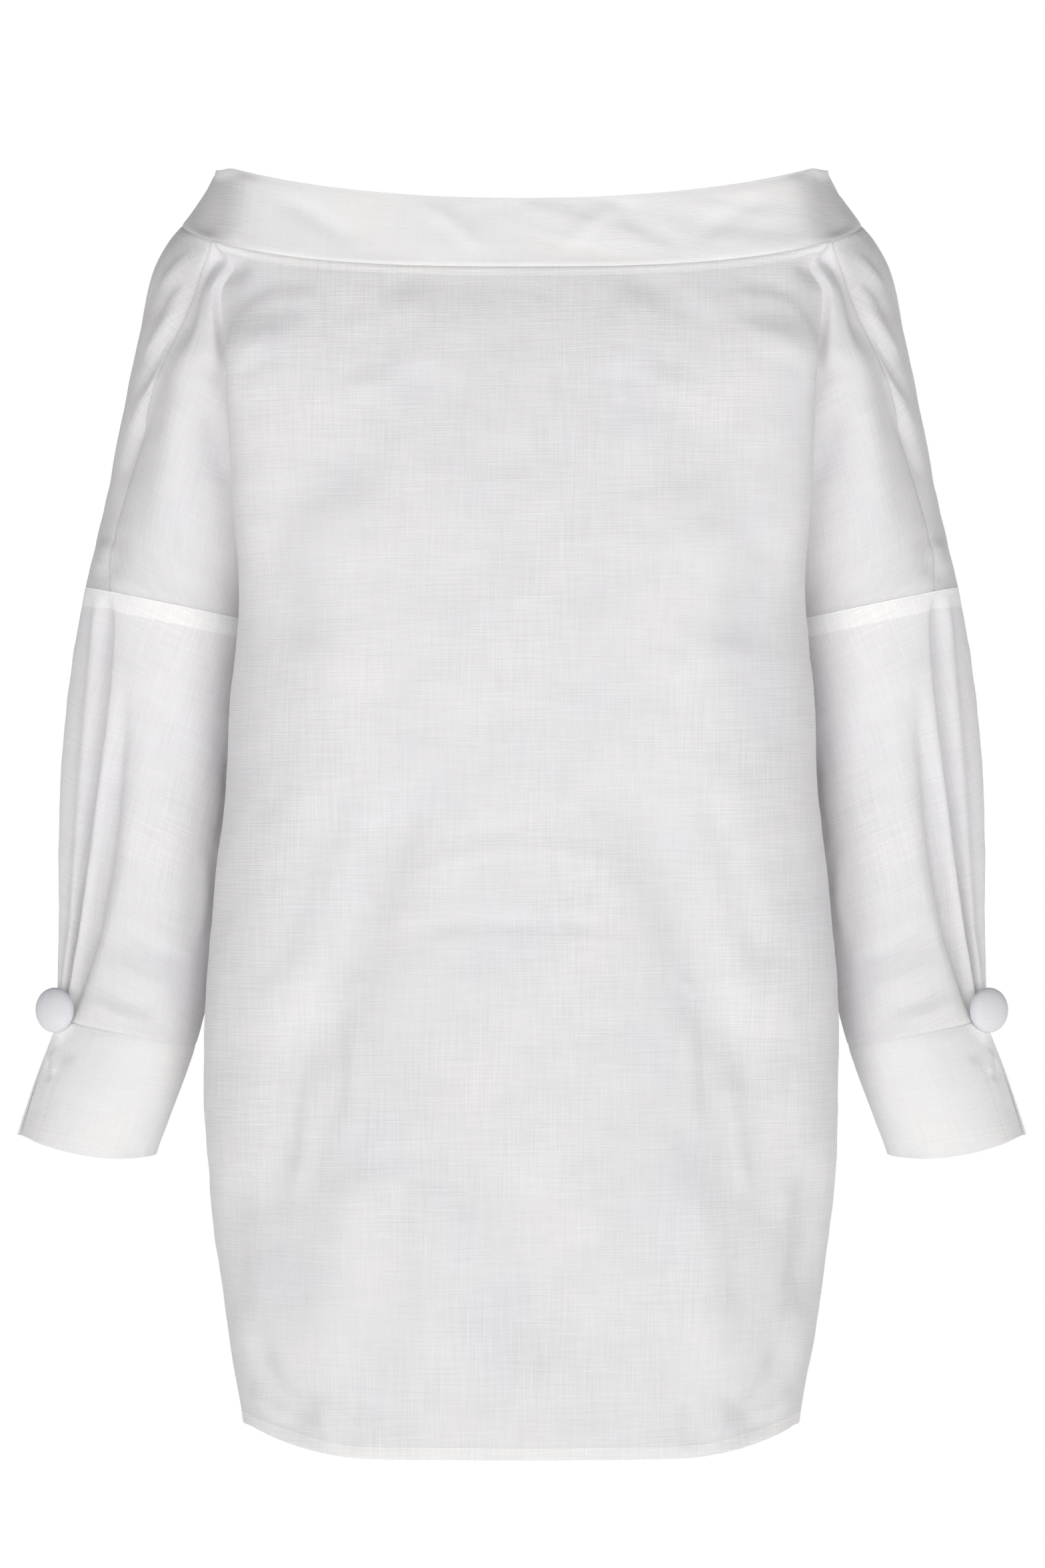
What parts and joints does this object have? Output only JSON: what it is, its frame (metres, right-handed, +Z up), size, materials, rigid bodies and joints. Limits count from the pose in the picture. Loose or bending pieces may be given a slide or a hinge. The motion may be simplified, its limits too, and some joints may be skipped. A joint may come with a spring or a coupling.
{
  "type": "off-the-shoulder linen blouse",
  "caption": "Off-the-shoulder linen blouse with a plain neckband, dropped shoulders, pleated sleeves, split cuffs with covered buttons and a curved hem.",
  "frame": {"origin": "centre of the neckband ring, where the wearer's shoulders hold the garment up", "axes": "+Z up, the wearer faces -Y, +X is the right side of the picture"},
  "size_m": [0.6032, 0.2427, 0.7629],
  "materials": {
    "linen": "plain-woven white linen with slubs, slightly sheer, matt",
    "linen_double": "two layers of the same white linen, matt",
    "linen_button": "white linen stretched over a domed button"
  },
  "bodies": {
    "root": {"neckband": "linen_double", "front": "linen", "back": "linen", "sleeve_left": "linen", "sleeve_right": "linen", "cuff_left": "linen_double", "cuff_right": "linen_double", "button_left": "linen_button", "button_right": "linen_button"}
  },
  "joints": []
}
